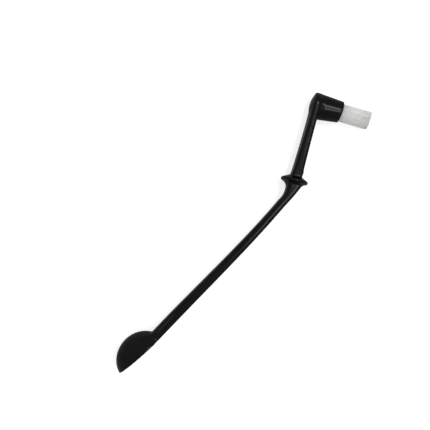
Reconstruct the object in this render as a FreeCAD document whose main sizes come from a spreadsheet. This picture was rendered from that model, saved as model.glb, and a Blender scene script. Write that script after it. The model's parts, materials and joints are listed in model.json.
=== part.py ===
import FreeCAD, Part
import math
import os
import Sketcher

# Brush for the group head of an espresso machine: a one-piece moulded body
# with a dosing scoop at one end and an angled socket head at the other,
# and a round bundle of filaments set in a cup that is pressed into the socket.
#
# Working plane: X along the handle towards the head, Y towards the back of
# the scoop, Z across the brush. The brush is drawn from the point where the
# centre lines of handle and neck meet, and at the end laid on its side.

SIZES = [
    # handle
    ("handle_length", 125.0, "bend to the section beside the scoop"),
    ("handle_middle", 64.0, "bend to the middle section"),
    ("handle_start", 9.5, "bend to the section beside the guard"),
    ("handle_start_drop", 0.15, "centre line below the handle line beside the guard"),
    ("handle_middle_drop", 0.7, "centre line below the handle line half way"),
    ("handle_end_rise", 0.5, "centre line above the handle line beside the scoop"),
    ("handle_thin", 5.65, "thickness beside the guard"),
    ("handle_mid", 6.1, "thickness half way"),
    ("handle_thick", 6.65, "thickness beside the scoop"),
    ("handle_width", 11.0, "width beside the guard"),
    ("handle_mid_width", 11.2, "width half way"),
    ("handle_end_width", 11.8, "width beside the scoop"),
    ("handle_round", 2.1, "corner radius of the handle"),
    ("handle_buried", 11.0, "length of handle running into the bowl's wall"),
    # scoop
    ("scoop_ahead", 22.5, "end of the handle to the middle of the bowl"),
    ("scoop_drop", 3.2, "bowl centre below the handle line"),
    ("scoop_half_length", 18.3, "outside half length of the bowl"),
    ("scoop_depth", 16.7, "outside depth from the bowl centre"),
    ("scoop_half_width", 12.0, "outside half width of the bowl"),
    ("scoop_wall", 1.6, "wall of the bowl"),
    ("rim_clearance", 0.05, "handle's lower corner in the bowl to the start of the rim"),
    ("rim_tilt", 6.2, "rise of the rim towards the tip, degrees"),
    ("rim_edge", 0.4, "rounding of the rim's inner edge"),
    ("scoop_blend", 1.0, "blend between handle and bowl"),
    # guard
    ("guard_tilt", 29.0, "direction of the guard axis, degrees"),
    ("guard_along", 6.6, "bend to guard centre, along the handle"),
    ("guard_above", 3.8, "bend to guard centre, square to the handle"),
    ("guard_radius", 9.15, "guard rim radius"),
    ("guard_edge", 1.3, "radius of the rim's edge"),
    ("guard_slope", 27.0, "slope of the upper face, degrees"),
    ("guard_crown", 2.6, "radius where the upper face starts"),
    ("flare_slope", 33.0, "slope of the flare at the rim, degrees"),
    ("flare_foot_radius", 4.3, "radius where the flare meets the stem"),
    ("flare_foot_drop", 5.6, "depth of the flare below the rim"),
    ("flare_hollow", 6.0, "radius of the hollow under the rim"),
    ("stem_thick", 8.1, "stem thickness below the guard"),
    ("stem_width", 11.6, "stem width below the guard"),
    ("stem_drop", 5.8, "stem section below the guard centre"),
    ("stem_shift", 0.1, "stem section towards the back"),
    ("fan_thick", 11.0, "thickness of the fan at the guard"),
    ("fan_width", 12.4, "width of the fan at the guard"),
    ("fan_drop", 0.3, "fan section below the guard centre"),
    ("fan_shift", 0.6, "fan section towards the barrel's side"),
    # neck
    ("neck_angle", 27.5, "rise of the neck from the handle, degrees"),
    ("neck_foot", 8.8, "bend to the neck's foot"),
    ("neck_foot_thick", 7.2, "neck thickness at its foot"),
    ("neck_foot_width", 11.6, "neck width at its foot"),
    ("web_thick", 7.2, "thickness of the web behind the neck's foot"),
    ("web_width", 11.0, "width of that web"),
    ("web_shift", 1.3, "web towards the back at the guard"),
    ("web_low", 1.8, "neck's foot to the web's middle section"),
    ("web_low_shift", 0.45, "web towards the back in its middle section"),
    ("web_high", 5.6, "neck's foot to the web's end in the neck"),
    ("web_high_shift", -0.2, "web towards the back at its end"),
    ("neck_middle", 30.0, "bend to the neck's middle section"),
    ("neck_middle_thick", 5.9, "neck thickness in the middle section"),
    ("neck_middle_width", 12.8, "neck width in the middle section"),
    ("neck_top", 59.6, "bend to the socket's axis, along the neck"),
    ("neck_top_thick", 4.9, "neck thickness at the socket's axis"),
    ("neck_top_width", 16.4, "neck width at the socket's axis"),
    ("neck_top_shift", 0.25, "neck's end away from the barrel"),
    ("neck_blend", 0.8, "blend between neck and guard"),
    ("neck_round", 1.3, "corner radius of the neck"),
    # head
    ("head_angle", 63.3, "fall of the socket axis from the handle, degrees"),
    ("dome_inset", 0.1, "edge of the domed back to where the neck's corners start"),
    ("dome_rise", 1.4, "height of the domed back"),
    ("barrel_root", 1.0, "neck's centre line to the barrel's first section"),
    ("barrel_root_height", 17.4, "barrel height at its first section"),
    ("barrel_root_width", 15.3, "barrel width at its first section"),
    ("barrel_root_shift", 0.55, "first section towards the handle"),
    ("mouth_reach", 17.2, "neck's centre line to the mouth"),
    ("mouth_radius", 7.0, "outside radius at the mouth"),
    ("mouth_shift", 0.2, "mouth away from the handle"),
    ("mouth_round", 0.8, "rounding of the mouth"),
    ("bore_edge", 0.2, "rounding of the socket's edge"),
    ("socket_radius", 6.05, "radius of the socket"),
    ("socket_depth", 14.5, "depth of the socket"),
    # bristles
    ("cup_clearance", 0.05, "gap round the cup"),
    ("cup_height", 9.0, "height of the cup"),
    ("cup_floor", 1.5, "floor of the cup"),
    ("cup_wall", 0.45, "wall of the cup"),
    ("cup_edge", 0.4, "chamfer of the cup's foot"),
    ("bundle_clearance", 0.03, "gap round the bundle in the cup"),
    ("bundle_mouth_radius", 5.9, "bundle radius at the mouth"),
    ("bundle_end_radius", 6.0, "bundle radius at its cut end"),
    ("bundle_edge", 0.25, "bevel of the cut end"),
    ("channel_radius", 0.35, "radius of the channels between the outer strands"),
    ("channel_depth", 0.25, "depth of the channels at the cut end"),
    ("bristle_reach", 19.7, "mouth to the cut end"),
]

CHANNELS = 24
UP = FreeCAD.Vector(0, 0, 1)
NEAR = 0.02
TINY_EDGE = 0.01
SAMPLES = 7


def open_document():
    doc = FreeCAD.newDocument("GroupHeadBrush")
    sheet = doc.addObject("Spreadsheet::Sheet", "Sizes")
    for row, (name, number, note) in enumerate(SIZES, start=1):
        sheet.set("A%d" % row, note)
        sheet.set("B%d" % row, str(number))
        sheet.setAlias("B%d" % row, name)
    doc.recompute()
    return doc, sheet


def tied(formula):
    """The same formula with every size read from the sheet."""
    for name in sorted((entry[0] for entry in SIZES), key=len, reverse=True):
        formula = swap_word(formula, name, "Sizes." + name)
    return formula


def swap_word(text, word, new):
    parts = []
    position = 0
    while True:
        found = text.find(word, position)
        if found < 0:
            parts.append(text[position:])
            return "".join(parts)
        end = found + len(word)
        before = text[found - 1] if found else " "
        after = text[end] if end < len(text) else " "
        whole = not (before.isalnum() or before in "._") and not (after.isalnum() or after == "_")
        parts.append(text[position:found] + (new if whole else word))
        position = end


def value(sheet, formula):
    return float(sheet.evalExpression(formula))


def new_body(doc, name):
    body = doc.addObject("PartDesign::Body", name)
    body.Label = name
    return body


def new_sketch(body, name, role, turn=None, axis=(0, 0, 1), base=()):
    """Sketch on one of the body's planes, turned and shifted by formulas."""
    planes = [f for f in body.Origin.OriginFeatures if f.Role == role]
    sketch = body.newObject("Sketcher::SketchObject", name)
    sketch.AttachmentSupport = [(planes[0], "")]
    sketch.MapMode = "FlatFace"
    if turn:
        sketch.AttachmentOffset = FreeCAD.Placement(
            FreeCAD.Vector(), FreeCAD.Rotation(FreeCAD.Vector(*axis), 10))
        sketch.setExpression("AttachmentOffset.Rotation.Angle", tied(turn))
    for letter, formula in zip("xyz", base):
        if formula:
            sketch.setExpression("AttachmentOffset.Base." + letter, tied(formula))
    return sketch


def size(sketch, kind, args, formula):
    """Driving dimension tied to the sheet."""
    number = value(sketch.Document.Sizes, formula)
    index = sketch.addConstraint(Sketcher.Constraint(kind, *args, number))
    sketch.setExpression("Constraints[%d]" % index, tied(formula))


def rounded_section(body, name, thick, width, corner, place, turn=None):
    """Rounded rectangle across the stem: thick in the plane, wide in Z."""
    sketch = new_sketch(body, name, "YZ_Plane", turn, (0, 1, 0), (place[1], None, place[0]))
    sheet = body.Document.Sizes
    rad = value(sheet, corner)
    flat_t = value(sheet, thick) / 2 - rad
    flat_w = value(sheet, width) / 2 - rad
    arcs = []
    for index, (side, end) in enumerate(((1, 1), (-1, 1), (-1, -1), (1, -1))):
        centre = FreeCAD.Vector(side * flat_t, end * flat_w, 0)
        begin = index * math.pi / 2
        arc = Part.ArcOfCircle(Part.Circle(centre, UP, rad), begin, begin + math.pi / 2)
        arcs.append(sketch.addGeometry(arc, False))
    lines = []
    for index, arc in enumerate(arcs):
        after = arcs[(index + 1) % 4]
        segment = Part.LineSegment(sketch.Geometry[arc].EndPoint,
                                   sketch.Geometry[after].StartPoint)
        line = sketch.addGeometry(segment, False)
        sketch.addConstraint(Sketcher.Constraint("Tangent", arc, 2, line, 1))
        sketch.addConstraint(Sketcher.Constraint("Tangent", line, 2, after, 1))
        lines.append(line)
    for arc in arcs[1:]:
        sketch.addConstraint(Sketcher.Constraint("Equal", arcs[0], arc))
    for kind, line in (("Horizontal", lines[0]), ("Vertical", lines[1]),
                       ("Horizontal", lines[2]), ("Vertical", lines[3])):
        sketch.addConstraint(Sketcher.Constraint(kind, line))
    sketch.addConstraint(Sketcher.Constraint("Symmetric", arcs[0], 3, arcs[2], 3, -1, 1))
    size(sketch, "Radius", (arcs[0],), corner)
    size(sketch, "DistanceX", (arcs[1], 3, arcs[0], 3), "%s - 2 * %s" % (thick, corner))
    size(sketch, "DistanceY", (arcs[3], 3, arcs[0], 3), "%s - 2 * %s" % (width, corner))
    return sketch


def round_section(body, name, height, width, place, turn):
    """Ellipse (or circle, when both formulas are the same) across the barrel."""
    sketch = new_sketch(body, name, "YZ_Plane", turn, (0, 1, 0), (place[1], None, place[0]))
    sheet = body.Document.Sizes
    tall = value(sheet, height) / 2
    wide = value(sheet, width) / 2
    if height == width:
        circle = sketch.addGeometry(Part.Circle(FreeCAD.Vector(), UP, tall), False)
        sketch.addConstraint(Sketcher.Constraint("Coincident", circle, 3, -1, 1))
        size(sketch, "Diameter", (circle,), height)
        return sketch
    ellipse = sketch.addGeometry(Part.Ellipse(FreeCAD.Vector(), tall, wide), False)
    sketch.exposeInternalGeometry(ellipse)
    sketch.addConstraint(Sketcher.Constraint("Coincident", ellipse, 3, -1, 1))
    sketch.addConstraint(Sketcher.Constraint("Horizontal", ellipse + 1))
    size(sketch, "DistanceX", (ellipse + 1, 1, ellipse + 1, 2), height)
    size(sketch, "DistanceY", (ellipse + 2, 1, ellipse + 2, 2), width)
    return sketch


def bowed(start, end, radius, left):
    """Point half way along an arc of this radius from start to end."""
    chord = end - start
    half = chord.Length / 2
    rise = radius - math.sqrt(radius * radius - half * half)
    side = FreeCAD.Vector(-chord.y, chord.x, 0).normalize() * (rise if left else -rise)
    return (start + end) * 0.5 + side


def outline(sketch, points, arcs=None):
    """Closed outline through points given as formulas.

    arcs holds {edge number: (radius formula, bulges to the left)}; edge n
    runs from point n to the next one.
    """
    arcs = arcs or {}
    sheet = sketch.Document.Sizes
    spots = [FreeCAD.Vector(value(sheet, x), value(sheet, y), 0) for x, y in points]
    ends = []
    for number, start in enumerate(spots):
        end = spots[(number + 1) % len(spots)]
        if number in arcs:
            formula, left = arcs[number]
            middle = bowed(start, end, value(sheet, formula), left)
            turns = (end, middle, start) if left else (start, middle, end)
            edge = sketch.addGeometry(Part.Arc(*turns), False)
        else:
            edge = sketch.addGeometry(Part.LineSegment(start, end), False)
        drawn = sketch.Geometry[edge].StartPoint
        forward = drawn.distanceToPoint(start) < drawn.distanceToPoint(end)
        ends.append((edge, 1, 2) if forward else (edge, 2, 1))
    for number, (edge, first, last) in enumerate(ends):
        after, after_first, _ = ends[(number + 1) % len(ends)]
        sketch.addConstraint(Sketcher.Constraint("Coincident", edge, last, after, after_first))
        for kind, axis, formula in (("DistanceX", -2, points[number][0]),
                                    ("DistanceY", -1, points[number][1])):
            if formula == "0":
                sketch.addConstraint(Sketcher.Constraint("PointOnObject", edge, first, axis))
            else:
                size(sketch, kind, (-1, 1, edge, first), formula)
        if number in arcs:
            size(sketch, "Radius", (edge,), arcs[number][0])


def loft(body, name, sections):
    feature = body.newObject("PartDesign::AdditiveLoft", name)
    feature.Profile = sections[0]
    feature.Sections = sections[1:]
    return feature


def turned(body, name, sketch, kind="PartDesign::Revolution", angle=360):
    feature = body.newObject(kind, name)
    feature.Profile = sketch
    feature.ReferenceAxis = (sketch, ["H_Axis"])
    feature.Angle = angle
    return feature


def ellipsoid(body, name, kind, grow):
    """Bowl surface, outside or (with the wall taken off) inside."""
    feature = body.newObject(kind, name)
    plane = [f for f in body.Origin.OriginFeatures if f.Role == "XY_Plane"][0]
    feature.AttachmentSupport = [(plane, "")]
    feature.MapMode = "FlatFace"
    feature.Angle1 = -90
    feature.Angle2 = 90
    feature.Angle3 = 360
    feature.setExpression("AttachmentOffset.Base.x", tied("-" + SCOOP))
    feature.setExpression("AttachmentOffset.Base.y", tied("-scoop_drop"))
    feature.setExpression("Radius1", tied("scoop_half_width" + grow))
    feature.setExpression("Radius2", tied("scoop_half_length" + grow))
    feature.setExpression("Radius3", tied("scoop_depth" + grow))
    return feature


def add_handle(body):
    """Slightly bowed stem that thickens towards the scoop."""
    sections = [
        rounded_section(body, "HandleInBowl", "handle_thick", "handle_end_width",
                        "handle_round", ("-handle_length - handle_buried", "handle_end_rise")),
        rounded_section(body, "HandleEnd", "handle_thick", "handle_end_width",
                        "handle_round", ("-handle_length", "handle_end_rise")),
        rounded_section(body, "HandleMiddle", "handle_mid", "handle_mid_width",
                        "handle_round", ("-handle_middle", "-handle_middle_drop")),
        rounded_section(body, "HandleStart", "handle_thin", "handle_width",
                        "handle_round", ("-handle_start", "-handle_start_drop")),
    ]
    loft(body, "Handle", sections)
    return sections[-1]


UNDERSIDE = "handle_end_rise - handle_thick / 2"
SCOOP = "(handle_length + scoop_ahead)"
CORNER_ACROSS = "(handle_end_width / 2 - handle_round) / scoop_half_width"
CORNER_DEEP = "(%s + scoop_drop) / scoop_depth" % UNDERSIDE
RIM = "(%s - scoop_half_length * sqrt(1 - (%s)^2 - (%s)^2) + rim_clearance)" % (
    SCOOP, CORNER_ACROSS, CORNER_DEEP)


def add_bowl(body):
    """Half an ellipsoid hanging from the handle's end, open at the rim."""
    ellipsoid(body, "BowlOutside", "PartDesign::AdditiveEllipsoid", "")
    sketch = new_sketch(body, "RimCut", "XY_Plane")
    slope = "tan(rim_tilt)"
    drop = UNDERSIDE
    below = "-2 * scoop_depth"
    past_tip = "-%s - 2 * scoop_half_length" % SCOOP
    beside = "-%s + scoop_wall" % RIM
    outline(sketch, [
        ("-" + RIM, drop),
        (past_tip, drop + " + (%s + 2 * scoop_half_length - %s) * %s" % (SCOOP, RIM, slope)),
        (past_tip, below),
        (beside, below),
        (beside, drop + " - scoop_wall * " + slope),
    ])
    cut = body.newObject("PartDesign::Pocket", "Rim")
    cut.Profile = sketch
    cut.Type = "ThroughAll"
    cut.Midplane = True
    ellipsoid(body, "BowlInside", "PartDesign::SubtractiveEllipsoid", " - scoop_wall")


def spot(base, angle, ahead, beside="0"):
    """Formulas of a point seen from another: ahead along an angle, beside to its left."""
    x, y = base
    return ("%s + (%s) * cos(%s) - (%s) * sin(%s)" % (x, ahead, angle, beside, angle),
            "%s + (%s) * sin(%s) + (%s) * cos(%s)" % (y, ahead, angle, beside, angle))


GUARD = ("guard_along", "guard_above")
HEAD = spot(("0", "0"), "neck_angle", "neck_top")
SOCKET_FLOOR = "mouth_reach - socket_depth"


def add_guard(body, handle_start):
    """Round guard with a sloping top; the stem fans out into its underside."""
    stem = rounded_section(body, "StemSection", "stem_thick", "stem_width", "handle_round",
                           spot(GUARD, "guard_tilt", "-stem_drop", "stem_shift"), "guard_tilt")
    fan = rounded_section(body, "FanSection", "fan_thick", "fan_width", "handle_round",
                          spot(GUARD, "guard_tilt", "-fan_drop", "-fan_shift"), "guard_tilt")
    loft(body, "Fan", [handle_start, stem, fan])
    sketch = new_sketch(body, "GuardProfile", "XY_Plane", "guard_tilt", base=GUARD)
    ring = "(guard_radius - guard_edge)"
    top = "(guard_edge * cos(guard_slope)"
    crown = top + " + (%s + guard_edge * sin(guard_slope) - guard_crown)" % ring
    crown = crown + " * tan(guard_slope))"
    outline(sketch, [
        (crown, "0"),
        (crown, "guard_crown"),
        ("guard_edge * cos(guard_slope)", ring + " + guard_edge * sin(guard_slope)"),
        ("-guard_edge * cos(flare_slope)", ring + " + guard_edge * sin(flare_slope)"),
        ("-flare_foot_drop", "flare_foot_radius"),
        ("-flare_foot_drop", "0"),
    ], {2: ("guard_edge", False), 3: ("flare_hollow", True)})
    turned(body, "Guard", sketch)


def add_neck(body):
    """Flat neck, wider and thinner towards the head, with a web behind its foot."""
    stations = [
        ("NeckFoot", "neck_foot", "neck_angle", "0"),
        ("NeckMiddle", "neck_middle", "neck_angle", "0"),
        ("NeckTop", "neck_top", "90 - head_angle", "neck_top_shift"),
    ]
    sections = []
    for name, place, turn, shift in stations:
        centre = spot(spot(("0", "0"), "neck_angle", place), turn, "0", shift)
        sections.append(rounded_section(body, name, place + "_thick", place + "_width",
                                        "neck_round", centre, turn))
    loft(body, "Neck", sections)
    webs = []
    for name, ahead, shift in (("WebFoot", "0", "web_shift"),
                               ("WebMiddle", "web_low", "web_low_shift"),
                               ("WebEnd", "web_high", "web_high_shift")):
        centre = spot(("0", "0"), "neck_angle", "neck_foot + " + ahead, shift)
        webs.append(rounded_section(body, name, "web_thick", "web_width", "neck_round",
                                    centre, "neck_angle"))
    loft(body, "Web", webs)


def add_head(body):
    """Arch over the neck's end and the tapering barrel of the socket."""
    middle = spot(HEAD, "90 - head_angle", "0", "neck_top_shift")
    sketch = new_sketch(body, "ArchProfile", "YZ_Plane", "90 - head_angle", (0, 1, 0),
                        (middle[1], None, middle[0]))
    half = "neck_top_thick / 2"
    edge = "neck_top_width / 2"
    outline(sketch, [
        ("-" + half, "0"),
        (half, "0"),
        (half, edge + " - neck_round"),
        (half + " - neck_round", edge),
        ("neck_round - " + half, edge),
        ("-" + half, edge + " - neck_round"),
    ], {2: ("neck_round", False), 4: ("neck_round", False)})
    turned(body, "Arch", sketch, angle=180)
    dome = new_sketch(body, "DomeProfile", "XY_Plane", "-head_angle", base=HEAD)
    back = "-%s - neck_top_shift" % half
    reach = "(neck_top_width / 2 - neck_round - dome_inset)"
    sphere = "(%s^2 + dome_rise^2) / (2 * dome_rise)" % reach
    outline(dome, [(back + " - dome_rise", "0"), ("0", "0"), ("0", reach), (back, reach)],
            {3: (sphere, False)})
    turned(body, "Dome", dome)
    root = round_section(body, "BarrelRoot", "barrel_root_height", "barrel_root_width",
                         spot(HEAD, "-head_angle", "barrel_root", "-barrel_root_shift"),
                         "-head_angle")
    mouth = round_section(body, "BarrelMouth", "2 * mouth_radius", "2 * mouth_radius",
                          spot(HEAD, "-head_angle", "mouth_reach", "mouth_shift"), "-head_angle")
    loft(body, "Barrel", [root, mouth])
    bore = new_sketch(body, "SocketProfile", "XY_Plane", "-head_angle", base=HEAD)
    past = "mouth_reach + 1"
    outline(bore, [(SOCKET_FLOOR, "0"), (past, "0"), (past, "socket_radius"),
                   (SOCKET_FLOOR, "socket_radius")])
    turned(body, "Socket", bore, "PartDesign::Groove")


def axis_at(sheet, base, angle):
    """Start point and direction of an axis in the working plane."""
    start = FreeCAD.Vector(value(sheet, base[0]), value(sheet, base[1]), 0)
    lean = math.radians(value(sheet, angle))
    return start, FreeCAD.Vector(math.cos(lean), math.sin(lean), 0)


def ahead_and_out(point, axis):
    """Distance of a point along an axis and away from it."""
    start, direction = axis
    ahead = (point - start).dot(direction)
    return ahead, (point - start - direction * ahead).Length


def fillet(body, name, wanted, radius):
    """Round every edge whose points all pass the test."""
    body.Document.recompute()
    names = []
    for number, edge in enumerate(body.Shape.Edges, start=1):
        if edge.Length > TINY_EDGE and all(wanted(p) for p in edge.discretize(SAMPLES)):
            names.append("Edge%d" % number)
    if not names:
        raise RuntimeError("no edge found for " + name)
    base = body.Tip
    feature = body.newObject("PartDesign::Fillet", name)
    feature.Base = (base, names)
    feature.setExpression("Radius", tied(radius))
    return feature


def round_edges(body):
    """Mould radii at the rim, the mouth and where the shapes run together."""
    sheet = body.Document.Sizes
    guard = axis_at(sheet, GUARD, "guard_tilt")
    socket = axis_at(sheet, HEAD, "-head_angle")
    square_to_rim = math.radians(value(sheet, "90 + rim_tilt"))
    rim = (FreeCAD.Vector(-value(sheet, RIM), value(sheet, UNDERSIDE), 0),
           FreeCAD.Vector(-math.cos(square_to_rim), math.sin(square_to_rim), 0))
    mouth = value(sheet, "mouth_reach")
    bore = value(sheet, "socket_radius")
    back = value(sheet, "scoop_wall - " + RIM)
    cone_foot = value(sheet, "guard_radius - guard_edge + guard_edge * sin(guard_slope)")
    cone_start = value(sheet, "guard_edge * cos(guard_slope)")
    cone_rise = value(sheet, "tan(guard_slope)")

    hollow = [value(sheet, half + " - scoop_wall") for half in
              ("scoop_half_length", "scoop_depth", "scoop_half_width")]

    def on_inner_rim(point):
        x = (point.x + value(sheet, SCOOP)) / hollow[0]
        y = (point.y + value(sheet, "scoop_drop")) / hollow[1]
        z = point.z / hollow[2]
        inside = abs(x * x + y * y + z * z - 1) < NEAR
        return inside and abs(ahead_and_out(point, rim)[0]) < NEAR

    def at_mouth(point):
        ahead, out = ahead_and_out(point, socket)
        return abs(ahead - mouth) < NEAR and out > bore + NEAR

    def at_bore(point):
        ahead, out = ahead_and_out(point, socket)
        return abs(ahead - mouth) < NEAR and out < bore + NEAR

    def round_stem(point):
        in_length = -value(sheet, SCOOP) < point.x < back
        return in_length and abs(ahead_and_out(point, rim)[0]) > NEAR

    def on_guard(point):
        ahead, out = ahead_and_out(point, guard)
        cone = cone_start + (cone_foot - out) * cone_rise
        return abs(ahead - cone) < NEAR and out < cone_foot - NEAR

    fillet(body, "BowlBlend", round_stem, "scoop_blend")
    fillet(body, "NeckBlend", on_guard, "neck_blend")
    fillet(body, "MouthEdge", at_mouth, "mouth_round")
    fillet(body, "BoreEdge", at_bore, "bore_edge")
    fillet(body, "RimEdge", on_inner_rim, "rim_edge")


def make_body(doc):
    body = new_body(doc, "brush_body")
    handle_start = add_handle(body)
    add_bowl(body)
    add_guard(body, handle_start)
    add_neck(body)
    add_head(body)
    round_edges(body)
    return body


def make_cup(doc):
    """Cup pressed to the socket's floor; the root of the bundle is set in it."""
    body = new_body(doc, "bristle_cup")
    sketch = new_sketch(body, "CupProfile", "XY_Plane", "-head_angle", base=HEAD)
    foot = SOCKET_FLOOR
    lip = foot + " + cup_height"
    outside = "socket_radius - cup_clearance"
    inside = outside + " - cup_wall"
    outline(sketch, [
        (foot, "0"),
        (foot + " + cup_floor", "0"),
        (foot + " + cup_floor", inside),
        (lip, inside),
        (lip, outside),
        (foot + " + cup_edge", outside),
        (foot, outside + " - cup_edge"),
    ])
    turned(body, "Cup", sketch)
    return body


def make_bristles(doc):
    """Bundle of filaments, tight in the cup, a little fuller at its cut end."""
    body = new_body(doc, "bristles")
    sketch = new_sketch(body, "BundleProfile", "XY_Plane", "-head_angle", base=HEAD)
    root = SOCKET_FLOOR + " + cup_floor"
    lip = SOCKET_FLOOR + " + cup_height"
    cut_end = "mouth_reach + bristle_reach"
    held = "socket_radius - cup_clearance - cup_wall - bundle_clearance"
    outline(sketch, [
        (root, "0"),
        (cut_end, "0"),
        (cut_end, "bundle_end_radius - bundle_edge"),
        (cut_end + " - bundle_edge", "bundle_end_radius"),
        ("mouth_reach", "bundle_mouth_radius"),
        (lip, held),
        (root, held),
    ])
    turned(body, "Bundle", sketch)
    channel = new_sketch(body, "ChannelProfile", "YZ_Plane", "-head_angle", (0, 1, 0),
                         (spot(HEAD, "-head_angle", cut_end)[1], None,
                          spot(HEAD, "-head_angle", cut_end)[0]))
    centre = "bundle_end_radius + channel_radius - channel_depth"
    radius = value(doc.Sizes, "channel_radius")
    place = FreeCAD.Vector(0, value(doc.Sizes, centre), 0)
    circle = channel.addGeometry(Part.Circle(place, UP, radius), False)
    channel.addConstraint(Sketcher.Constraint("PointOnObject", circle, 3, -2))
    size(channel, "Radius", (circle,), "channel_radius")
    size(channel, "DistanceY", (-1, 1, circle, 3), centre)
    cut = body.newObject("PartDesign::Pocket", "Channel")
    cut.Profile = channel
    cut.setExpression("Length", tied("%s - (%s)" % (cut_end, lip)))
    ring = body.newObject("PartDesign::PolarPattern", "Channels")
    ring.Originals = [cut]
    ring.Axis = (channel, ["N_Axis"])
    ring.Angle = 360
    ring.Occurrences = CHANNELS
    body.Tip = ring
    return body


def check(doc, parts):
    for item in doc.Objects:
        state = list(item.State)
        if "Invalid" in state or "Error" in state:
            raise RuntimeError("%s: %s %s" % (item.Name, state, item.getStatusString()))
    for item in parts:
        if item.Shape.isNull() or not item.Shape.isValid():
            raise RuntimeError(item.Label + " has no valid shape")


def resting_place(sheet):
    """Turn that lays scoop, guard and arch on the floor, the brush on its side."""
    def read(formula):
        return value(sheet, formula)
    touches = [
        FreeCAD.Vector(-read(SCOOP), read(UNDERSIDE), -read("scoop_half_width")),
        FreeCAD.Vector(read(GUARD[0]), read(GUARD[1]), -read("guard_radius")),
        FreeCAD.Vector(read(HEAD[0]), read(HEAD[1]), -read("neck_top_width / 2")),
    ]
    normal = (touches[1] - touches[0]).cross(touches[2] - touches[0])
    return FreeCAD.Rotation(normal, UP)


def lay_down(doc, parts):
    """Rest the brush on Z = 0, centred over the origin."""
    turn = FreeCAD.Placement(FreeCAD.Vector(), resting_place(doc.Sizes))
    box = FreeCAD.BoundBox()
    for item in parts:
        shape = item.Shape.copy()
        shape.Placement = turn.multiply(shape.Placement)
        box.add(shape.optimalBoundingBox(True, False))
    shift = FreeCAD.Vector(-box.Center.x, -box.Center.y, -box.ZMin)
    for item in parts:
        item.Placement = FreeCAD.Placement(shift, turn.Rotation)
    doc.recompute()


def main():
    doc, sheet = open_document()
    parts = [make_body(doc), make_cup(doc), make_bristles(doc)]
    doc.recompute()
    lay_down(doc, parts)
    check(doc, parts)
    os.makedirs("parts", exist_ok=True)
    for item in parts:
        item.Shape.exportStep("parts/%s.step" % item.Label)
        print(item.Label, round(item.Shape.Volume, 1), item.Shape.optimalBoundingBox(True, False))


main()
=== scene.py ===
import bmesh
import bpy
import json
import math
import random
from mathutils import Matrix, Vector

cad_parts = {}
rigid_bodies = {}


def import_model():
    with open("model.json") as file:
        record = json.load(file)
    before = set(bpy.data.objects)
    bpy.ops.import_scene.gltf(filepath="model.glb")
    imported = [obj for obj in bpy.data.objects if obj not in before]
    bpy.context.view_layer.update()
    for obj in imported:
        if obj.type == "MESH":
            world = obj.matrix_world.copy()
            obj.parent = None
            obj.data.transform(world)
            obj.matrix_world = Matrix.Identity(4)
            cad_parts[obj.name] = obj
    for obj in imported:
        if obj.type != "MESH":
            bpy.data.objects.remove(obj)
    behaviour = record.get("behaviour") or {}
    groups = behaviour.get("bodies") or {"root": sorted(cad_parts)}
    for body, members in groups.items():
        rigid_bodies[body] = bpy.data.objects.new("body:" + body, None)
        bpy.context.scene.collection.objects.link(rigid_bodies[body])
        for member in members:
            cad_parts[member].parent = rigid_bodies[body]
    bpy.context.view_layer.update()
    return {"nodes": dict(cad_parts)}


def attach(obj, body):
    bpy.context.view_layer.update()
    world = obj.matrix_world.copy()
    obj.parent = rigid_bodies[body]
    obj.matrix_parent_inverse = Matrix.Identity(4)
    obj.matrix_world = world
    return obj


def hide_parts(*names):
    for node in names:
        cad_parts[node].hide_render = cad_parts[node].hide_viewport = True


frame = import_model()
print("frame loaded")

mm = 0.001

# the brush is measured in mm from its bend: along the handle towards the head,
# towards the back of the scoop, and across the brush, away from the floor
bendPoint = Vector((45.256, -12.569, 9.291)) * mm
alongHandle = Vector((0.99983, -0.00004, -0.01830)).normalized()
towardsBack = Vector((-0.00004, 0.99999, -0.00434)).normalized()
acrossBrush = alongHandle.cross(towardsBack)


def turned(along, back, across=0.0):
    return alongHandle * along + towardsBack * back + acrossBrush * across


def place(along, back, across=0.0):
    return bendPoint + turned(along, back, across) * mm


def addPiece(name, mesh, material, node):
    mesh.materials.clear()
    mesh.materials.append(material)
    for face in mesh.polygons:
        face.use_smooth = True
    piece = bpy.data.objects.new(name, mesh)
    bpy.context.scene.collection.objects.link(piece)
    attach(piece, "root")
    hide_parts(node)
    return piece


# node groups shared by the materials

grainLook = {
    "grainScale": 2600.0,
    "grainDetail": 3.0,
    "grainRoughness": 0.6,
    "driftScale": 60.0,
    "driftDetail": 2.0,
    "driftRange": (0.3, 0.7),    # span of the drift that the body's gloss follows
}
wearLook = {
    "patchScale": 220.0,
    "patchDetail": 4.0,
    "sharpFrom": 0.52,       # pointiness at which the wear starts
    "sharpGain": 9.0,
}


def newGroup(name, inputs, outputs):
    group = bpy.data.node_groups.new(name, "ShaderNodeTree")
    for label, kind, default in inputs:
        socket = group.interface.new_socket(label, in_out="INPUT", socket_type=kind)
        if default is not None:
            socket.default_value = default
    for label, kind in outputs:
        group.interface.new_socket(label, in_out="OUTPUT", socket_type=kind)
    return group, group.nodes.new("NodeGroupInput"), group.nodes.new("NodeGroupOutput")


def mathNode(tree, operation, first, second=None, clamp=False):
    node = tree.nodes.new("ShaderNodeMath")
    node.operation = operation
    node.use_clamp = clamp
    for socket, value in zip(node.inputs, (first, second)):
        if isinstance(value, (int, float)):
            socket.default_value = value
        elif value is not None:
            tree.links.new(value, socket)
    return node.outputs[0]


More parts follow.
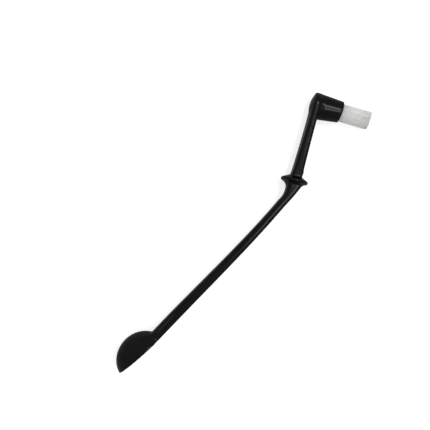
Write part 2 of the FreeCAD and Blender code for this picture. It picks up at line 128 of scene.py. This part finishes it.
# fine texture that a mould's steel leaves, and a slow drift for roughness and gloss
def makeMouldGrain():
    group, start, end = newGroup(
        "mouldGrain",
        [("Position", "NodeSocketVector", None),
         ("Grain Scale", "NodeSocketFloat", grainLook["grainScale"]),
         ("Drift Scale", "NodeSocketFloat", grainLook["driftScale"])],
        [("Height", "NodeSocketFloat"), ("Drift", "NodeSocketFloat")])
    grain = group.nodes.new("ShaderNodeTexNoise")
    grain.inputs["Detail"].default_value = grainLook["grainDetail"]
    grain.inputs["Roughness"].default_value = grainLook["grainRoughness"]
    drift = group.nodes.new("ShaderNodeTexNoise")
    drift.inputs["Detail"].default_value = grainLook["driftDetail"]
    for noise, scale in ((grain, "Grain Scale"), (drift, "Drift Scale")):
        group.links.new(start.outputs["Position"], noise.inputs["Vector"])
        group.links.new(start.outputs[scale], noise.inputs["Scale"])
    group.links.new(grain.outputs["Fac"], end.inputs["Height"])
    group.links.new(drift.outputs["Fac"], end.inputs["Drift"])
    return group


# lighter, rubbed edges where the surface turns sharply outwards
def makeEdgeWear():
    group, start, end = newGroup(
        "edgeWear",
        [("Position", "NodeSocketVector", None), ("Amount", "NodeSocketFloat", 0.5)],
        [("Mask", "NodeSocketFloat")])
    geometry = group.nodes.new("ShaderNodeNewGeometry")
    patches = group.nodes.new("ShaderNodeTexNoise")
    patches.inputs["Scale"].default_value = wearLook["patchScale"]
    patches.inputs["Detail"].default_value = wearLook["patchDetail"]
    group.links.new(start.outputs["Position"], patches.inputs["Vector"])
    beyond = mathNode(group, "SUBTRACT", geometry.outputs["Pointiness"], wearLook["sharpFrom"])
    sharp = mathNode(group, "MULTIPLY", beyond, wearLook["sharpGain"], clamp=True)
    broken = mathNode(group, "MULTIPLY", sharp, patches.outputs["Fac"])
    group.links.new(mathNode(group, "MULTIPLY", broken, start.outputs["Amount"], clamp=True),
                    end.inputs["Mask"])
    return group


mouldGrain = makeMouldGrain()
edgeWear = makeEdgeWear()
print("node groups ready")


def newMaterial(name):
    material = bpy.data.materials.new(name)
    material.use_nodes = True
    tree = material.node_tree
    return material, tree, tree.nodes["Principled BSDF"]


def objectPosition(tree):
    return tree.nodes.new("ShaderNodeTexCoord").outputs["Object"]


def addGroup(tree, group, position, **values):
    node = tree.nodes.new("ShaderNodeGroup")
    node.node_tree = group
    tree.links.new(position, node.inputs["Position"])
    for label, value in values.items():
        node.inputs[label.replace("_", " ")].default_value = value
    return node


def mixColours(tree, factor, first, second):
    mix = tree.nodes.new("ShaderNodeMix")
    mix.data_type = "RGBA"
    tree.links.new(factor, mix.inputs["Factor"])
    mix.inputs["A"].default_value = (*first, 1.0)
    mix.inputs["B"].default_value = (*second, 1.0)
    return mix.outputs["Result"]


def mapRange(tree, value, low, high, fromLow=0.0, fromHigh=1.0):
    node = tree.nodes.new("ShaderNodeMapRange")
    tree.links.new(value, node.inputs["Value"])
    for label, number in (("From Min", fromLow), ("From Max", fromHigh),
                          ("To Min", low), ("To Max", high)):
        node.inputs[label].default_value = number
    return node.outputs["Result"]


def bump(tree, height, distance):
    node = tree.nodes.new("ShaderNodeBump")
    node.inputs["Distance"].default_value = distance
    tree.links.new(height, node.inputs["Height"])
    return node.outputs["Normal"]


# brush body: one black moulding

bodyLook = {
    "colour": (0.0014, 0.0014, 0.0020),
    # also the colour of the painted highlight line along the handle near the scoop
    "wornColour": (0.022, 0.022, 0.026),
    "roughness": (0.4, 0.5),
    "gloss": (0.15, 0.21),          # share of the surface with a polished skin
    "glossRoughness": 0.2,
    "glossTint": (0.90, 0.95, 1.0, 1.0),
    "grainDepth": 0.004 * mm,
    "wear": 0.35,
    # middle, half width and fade
    "paintedHighlightLine": {"across": (1.5, 0.12, 0.25), "along": (-119.5, 6.5, 2.5)},
    "voxel": 0.4 * mm,       # grid of the skin that rounds the sharp edges
    "softenSteps": 5,
    "softenAmount": 0.5,
    "weld": 0.002 * mm,
    "roundingSteps": 28,     # further softening that rounds the handle and the neck
    # stretches of that softening: (start, full from, full to, end)
    "handleStretch": (-112.0, -100.0, -16.0, -10.0),
    # corner where the handle runs into the scoop's rim: along the handle, to its back
    "rimStretches": ((-134.0, -131.0, -123.0, -119.0), (-7.0, -6.0, -1.0, 1.0)),
    # the neck, then its joint with the head: along the neck, across it
    "neckStretches": (((13.0, 18.0, 46.0, 52.0), (-20.0, -19.0, 19.0, 20.0)),
                      ((48.0, 52.0, 62.0, 68.0), (0.0, 1.5, 5.0, 9.0))),
    # hollow in the head beside the neck, which stands proud of it
    "shoulder": {
        "depth": 0.5,
        "acrossNeck": (1.9, 2.6, 2.8, 4.2),
        "alongNeck": (49.0, 51.0, 58.0, 61.0),
        "clearOfSocket": (6.4, 7.2, 20.0, 21.0),
    },
}

neckAngle = math.radians(27.5)
neckWay = Vector((math.cos(neckAngle), math.sin(neckAngle)))
neckSide = Vector((math.sin(neckAngle), -math.cos(neckAngle)))
neckTop = 59.6           # along the neck to the socket's axis
neckHalfWidth = 8.2      # at that axis


# 1 within a band measured from the bend along one direction, fading over "fade"
def band(tree, position, direction, middle, half, fade):
    distance = tree.nodes.new("ShaderNodeVectorMath")
    distance.operation = "DOT_PRODUCT"
    tree.links.new(position, distance.inputs[0])
    distance.inputs[1].default_value = direction / mm
    offset = mathNode(tree, "SUBTRACT", distance.outputs["Value"],
                      bendPoint.dot(direction) / mm + middle)
    return mapRange(tree, mathNode(tree, "ABSOLUTE", offset), 1.0, 0.0, half, half + fade)


# painted highlight: a faint light line along the handle where it nears the scoop, lightening the
# base colour where the mould's parting ridge would catch the light
def paintedHighlightLine(tree, position):
    line = bodyLook["paintedHighlightLine"]
    return mathNode(tree, "MULTIPLY", band(tree, position, towardsBack, *line["across"]),
                    band(tree, position, alongHandle, *line["along"]))


def makeBlackPlastic():
    material, tree, shader = newMaterial("blackPlastic")
    position = objectPosition(tree)
    grain = addGroup(tree, mouldGrain, position)
    wear = addGroup(tree, edgeWear, position, Amount=bodyLook["wear"])
    # the base colour lightens to wornColour at rubbed edges (real wear) and along the painted
    # highlight line
    wearAndHighlight = mathNode(tree, "MAXIMUM", wear.outputs["Mask"], paintedHighlightLine(tree, position))
    tree.links.new(mixColours(tree, wearAndHighlight, bodyLook["colour"], bodyLook["wornColour"]),
                   shader.inputs["Base Color"])
    for key, socket in (("roughness", "Roughness"), ("gloss", "Coat Weight")):
        tree.links.new(mapRange(tree, grain.outputs["Drift"], *bodyLook[key],
                                *grainLook["driftRange"]), shader.inputs[socket])
    tree.links.new(bump(tree, grain.outputs["Height"], bodyLook["grainDepth"]),
                   shader.inputs["Normal"])
    shader.inputs["Specular IOR Level"].default_value = 0.0
    shader.inputs["Coat Roughness"].default_value = bodyLook["glossRoughness"]
    shader.inputs["Coat Tint"].default_value = bodyLook["glossTint"]
    return material


# 0 outside a stretch, 1 in its full part
def ramp(value, stretch):
    start, fullFrom, fullTo, end = stretch
    return min(max(min((value - start) / (fullFrom - start), (end - value) / (end - fullTo)), 0), 1)


# (along the handle, towards the back), then across the brush
def fromBend(point):
    offset = (point - bendPoint) / mm
    return (Vector((offset.dot(alongHandle), offset.dot(towardsBack))),
            offset.dot(acrossBrush))


# 1 where the handle or the neck is plain, 0 at scoop, guard and head
def roundingShare(point):
    inPlane = fromBend(point)[0]
    upNeck, besideNeck = inPlane.dot(neckWay), inPlane.dot(neckSide)
    alongRim, behindRim = bodyLook["rimStretches"]
    return max(ramp(inPlane.x, bodyLook["handleStretch"]),
               ramp(inPlane.x, alongRim) * ramp(inPlane.y, behindRim),
               *(ramp(upNeck, alongNeck) * ramp(besideNeck, acrossNeck)
                 for alongNeck, acrossNeck in bodyLook["neckStretches"]))


# draws both faces of the head inwards beside the neck
def sinkShoulder(mesh):
    shoulder = bodyLook["shoulder"]
    for vertex in mesh.vertices:
        inPlane, across = fromBend(vertex.co)
        share = ramp(inPlane.dot(neckSide), shoulder["acrossNeck"])
        share *= ramp(inPlane.dot(neckWay), shoulder["alongNeck"])
        if share > 0:
            share *= ramp(math.hypot(inPlane.dot(neckWay) - neckTop, across),
                          shoulder["clearOfSocket"])
            ease = share * share * (3 - 2 * share)
            vertex.co -= acrossBrush * (across / neckHalfWidth * ease * shoulder["depth"] * mm)


def bakedMesh(draft):
    bpy.context.view_layer.update()
    return bpy.data.meshes.new_from_object(
        draft.evaluated_get(bpy.context.evaluated_depsgraph_get()))


def makeBody():
    mesh = frame["nodes"]["brush_body"].data.copy()
    shell = bmesh.new()
    shell.from_mesh(mesh)
    bmesh.ops.remove_doubles(shell, verts=shell.verts, dist=bodyLook["weld"])
    shell.to_mesh(mesh)
    shell.free()
    draft = bpy.data.objects.new("bodyDraft", mesh)
    bpy.context.scene.collection.objects.link(draft)
    skin = draft.modifiers.new("skin", "REMESH")
    skin.mode = "VOXEL"
    skin.voxel_size = bodyLook["voxel"]
    soften = draft.modifiers.new("soften", "SMOOTH")
    soften.factor = bodyLook["softenAmount"]
    soften.iterations = bodyLook["softenSteps"]
    skinned = bakedMesh(draft)
    sinkShoulder(skinned)
    draft.modifiers.clear()
    draft.data = skinned
    plain = draft.vertex_groups.new(name="plain")
    for vertex in skinned.vertices:
        share = roundingShare(vertex.co)
        if share > 0:
            plain.add([vertex.index], share, "REPLACE")
    rounding = draft.modifiers.new("rounding", "SMOOTH")
    rounding.factor = bodyLook["softenAmount"]
    rounding.iterations = bodyLook["roundingSteps"]
    rounding.vertex_group = "plain"
    finished = bakedMesh(draft)
    bpy.data.objects.remove(draft)
    finished.name = "brushBody"
    return addPiece("brushBody", finished, makeBlackPlastic(), "brush_body")


body = makeBody()
print("brush body:", len(body.data.polygons), "faces")


# bristles: a bundle of fine filaments set in a cup in the socket

bristleLook = {
    "colour": (0.87, 0.88, 0.87),
    "shadedColour": (0.80, 0.80, 0.76),
    "roughness": 0.5,
    "translucency": 0.5,
    "lightReach": 0.8 * mm,
    "grainScale": 5200.0,
    "grainDepth": 0.003 * mm,
    "filamentRadius": 0.1,
    "pitch": 0.212,
    "sides": 5,
    "bundleMouth": 5.86,     # bundle's radius where it leaves the cup, then at its end
    "bundleEnd": 5.98,
    "footAboveLip": 0.2,     # filaments start this far above the cup's lip
    "rootRadius": 5.52,
    "rootAboveLip": 0.6,
    "rootSides": 48,
    "straying": 0.07,
    "unevenness": 0.06,
    "slant": 0.9,            # filaments farthest from the floor are cut shorter by this
    "seed": 7,
}

# along the socket's axis, from the neck's centre line
mouthReach = 17.2
socketDepth = 14.5
cupFloor = 1.5
cupHeight = 9.0
bristleReach = 19.7
cupFloorEnd = mouthReach - socketDepth + cupFloor
cupLip = mouthReach - socketDepth + cupHeight
cutEnd = mouthReach + bristleReach

headPoint = (52.865, 27.520)     # where that axis starts, from the bend
headAngle = math.radians(63.3)
socketAxis = turned(math.cos(headAngle), -math.sin(headAngle))
socketSide = turned(math.sin(headAngle), math.cos(headAngle))
socketFrame = Matrix.Translation(place(*headPoint)) @ Matrix(
    (socketSide, acrossBrush, socketAxis)).transposed().to_4x4() @ Matrix.Scale(mm, 4)


def makeNylon():
    material, tree, shader = newMaterial("nylonFilament")
    position = objectPosition(tree)
    strand = tree.nodes.new("ShaderNodeAttribute")
    strand.attribute_name = "strand"
    grain = addGroup(tree, mouldGrain, position, Grain_Scale=bristleLook["grainScale"])
    tree.links.new(mixColours(tree, strand.outputs["Fac"], bristleLook["colour"],
                              bristleLook["shadedColour"]), shader.inputs["Base Color"])
    tree.links.new(bump(tree, grain.outputs["Height"], bristleLook["grainDepth"]),
                   shader.inputs["Normal"])
    shader.inputs["Roughness"].default_value = bristleLook["roughness"]
    shader.inputs["Subsurface Weight"].default_value = bristleLook["translucency"]
    shader.inputs["Subsurface Radius"].default_value = (1.0, 1.0, 1.0)
    shader.inputs["Subsurface Scale"].default_value = bristleLook["lightReach"]
    return material


def filamentPlaces():
    pitch = bristleLook["pitch"]
    rowGap = pitch * math.sqrt(3) / 2
    reach = bristleLook["bundleEnd"] - bristleLook["filamentRadius"]
    rows = int(reach / rowGap) + 1
    for row in range(-rows, rows + 1):
        shift = pitch / 2 if row % 2 else 0.0
        for column in range(-rows, rows + 1):
            side, up = column * pitch + shift, row * rowGap
            if math.hypot(side, up) <= reach:
                yield side, up


def makeBristles():
    chance = random.Random(bristleLook["seed"])
    radius = bristleLook["filamentRadius"]
    tight = bristleLook["bundleMouth"] / bristleLook["bundleEnd"]
    bundle = bmesh.new()
    strand = bundle.verts.layers.float.new("strand")    # each filament's own shade
    for side, up in filamentPlaces():
        stray = bristleLook["straying"]
        cut = cutEnd - bristleLook["slant"] * (1 + up / bristleLook["bundleEnd"]) / 2
        top = Vector((side + chance.uniform(-stray, stray), up + chance.uniform(-stray, stray),
                      cut + chance.uniform(-bristleLook["unevenness"], 0.0)))
        foot = Vector((side * tight, up * tight, cupLip + bristleLook["footAboveLip"]))
        run = top - foot
        lean = Vector((0, 0, 1)).rotation_difference(run).to_matrix().to_4x4()
        made = bmesh.ops.create_cone(
            bundle, cap_ends=True, segments=bristleLook["sides"], radius1=radius, radius2=radius,
            depth=run.length, matrix=Matrix.Translation((top + foot) / 2) @ lean)
        shade = chance.random() ** 2
        for vertex in made["verts"]:
            vertex[strand] = shade
    # filaments set in resin, down in the cup
    depth = cupLip + bristleLook["rootAboveLip"] - cupFloorEnd
    bmesh.ops.create_cone(
        bundle, cap_ends=True, segments=bristleLook["rootSides"],
        radius1=bristleLook["rootRadius"], radius2=bristleLook["rootRadius"], depth=depth,
        matrix=Matrix.Translation((0, 0, cupFloorEnd + depth / 2)))
    bmesh.ops.transform(bundle, matrix=socketFrame, verts=bundle.verts)
    bmesh.ops.recalc_face_normals(bundle, faces=bundle.faces)
    mesh = bpy.data.meshes.new("bristleBundle")
    bundle.to_mesh(mesh)
    bundle.free()
    return addPiece("bristleBundle", mesh, makeNylon(), "bristles")


bristles = makeBristles()
print("bristles:", len(bristles.data.polygons), "faces")


# cup: hidden in the socket

cupLook = {
    "colour": (0.62, 0.62, 0.59),
    "wornColour": (0.5, 0.5, 0.47),
    "roughness": (0.45, 0.55),
    "grainDepth": 0.004 * mm,
    "wear": 0.3,
}


def makeWhitePlastic():
    material, tree, shader = newMaterial("whitePlastic")
    position = objectPosition(tree)
    grain = addGroup(tree, mouldGrain, position)
    wear = addGroup(tree, edgeWear, position, Amount=cupLook["wear"])
    tree.links.new(mixColours(tree, wear.outputs["Mask"], cupLook["colour"],
                              cupLook["wornColour"]), shader.inputs["Base Color"])
    tree.links.new(mapRange(tree, grain.outputs["Drift"], *cupLook["roughness"]),
                   shader.inputs["Roughness"])
    tree.links.new(bump(tree, grain.outputs["Height"], cupLook["grainDepth"]),
                   shader.inputs["Normal"])
    return material


cup = frame["nodes"]["bristle_cup"]
cup.data.materials.clear()
cup.data.materials.append(makeWhitePlastic())
print("cup finished")


# floor, room and lamps, in metres

studio = {
    "floorSize": 6.0,
    "floorColour": (0.5, 0.5, 0.5),
    "floorGlow": 0.7,
    "roomLight": 0.60,
    "lampDistance": 0.8,
    # direction from the brush, width, power in watts
    "headLamp": ((0.43, -0.05, 0.902), 0.18, 1.8),
    "handleLamp": ((0.125, -0.27, 0.955), 0.13, 1.1),
}


def seenDirectly(tree):
    path = tree.nodes.new("ShaderNodeLightPath")
    seen = mathNode(tree, "MAXIMUM", path.outputs["Is Camera Ray"],
                    path.outputs["Is Glossy Ray"])
    return mathNode(tree, "MAXIMUM", seen, path.outputs["Is Transmission Ray"])


def makeFloor():
    sheet = bmesh.new()
    bmesh.ops.create_grid(sheet, x_segments=1, y_segments=1, size=studio["floorSize"] / 2)
    mesh = bpy.data.meshes.new("floor")
    sheet.to_mesh(mesh)
    sheet.free()
    material, tree, shader = newMaterial("paleFloor")
    shader.inputs["Base Color"].default_value = (*studio["floorColour"], 1.0)
    shader.inputs["Roughness"].default_value = 1.0
    shader.inputs["Specular IOR Level"].default_value = 0.0
    shader.inputs["Emission Color"].default_value = (1.0, 1.0, 1.0, 1.0)
    tree.links.new(mathNode(tree, "MULTIPLY", seenDirectly(tree), studio["floorGlow"]),
                   shader.inputs["Emission Strength"])
    mesh.materials.append(material)
    floor = bpy.data.objects.new("floor", mesh)
    bpy.context.scene.collection.objects.link(floor)


def makeWorld():
    world = bpy.data.worlds.new("studioRoom")
    world.use_nodes = True
    tree = world.node_tree
    background = tree.nodes["Background"]
    background.inputs["Color"].default_value = (1.0, 1.0, 1.0, 1.0)
    tree.links.new(mapRange(tree, seenDirectly(tree), studio["roomLight"], 1.0),
                   background.inputs["Strength"])
    bpy.context.scene.world = world


def makeLamp(name):
    direction, width, power = studio[name]
    lamp = bpy.data.lights.new(name, "AREA")
    lamp.shape = "SQUARE"
    lamp.size = width
    lamp.energy = power
    holder = bpy.data.objects.new(name, lamp)
    bpy.context.scene.collection.objects.link(holder)
    away = Vector(direction).normalized()
    holder.location = away * studio["lampDistance"]
    holder.rotation_euler = away.to_track_quat("Z", "Y").to_euler()


makeFloor()
makeWorld()
for lampName in ("headLamp", "handleLamp"):
    makeLamp(lampName)
print("studio ready")


# camera, looking down on the brush as the photograph does

cameraPlan = {
    "along": -45.9,
    "back": 26.5,
    "height": 338.0,
    "pictureTurn": math.radians(46.8),   # handle's slope in the picture
    "focalPixels": 510.0,
    "pictureWidth": 430.0,
    "sensor": 36.0,
}


def makeCamera():
    camera = bpy.data.cameras.new("camera")
    camera.sensor_width = cameraPlan["sensor"]
    camera.lens = cameraPlan["sensor"] * cameraPlan["focalPixels"] / cameraPlan["pictureWidth"]
    camera.clip_start = 1 * mm
    turn = cameraPlan["pictureTurn"]
    right = turned(math.cos(turn), -math.sin(turn))
    up = turned(math.sin(turn), math.cos(turn))
    holder = bpy.data.objects.new("camera", camera)
    axes = Matrix((right, up, acrossBrush)).transposed().to_4x4()
    spot = place(cameraPlan["along"], cameraPlan["back"], cameraPlan["height"])
    holder.matrix_world = Matrix.Translation(spot) @ axes
    bpy.context.scene.collection.objects.link(holder)
    bpy.context.scene.camera = holder


makeCamera()
bpy.context.scene.view_settings.view_transform = "Standard"
print("camera ready")
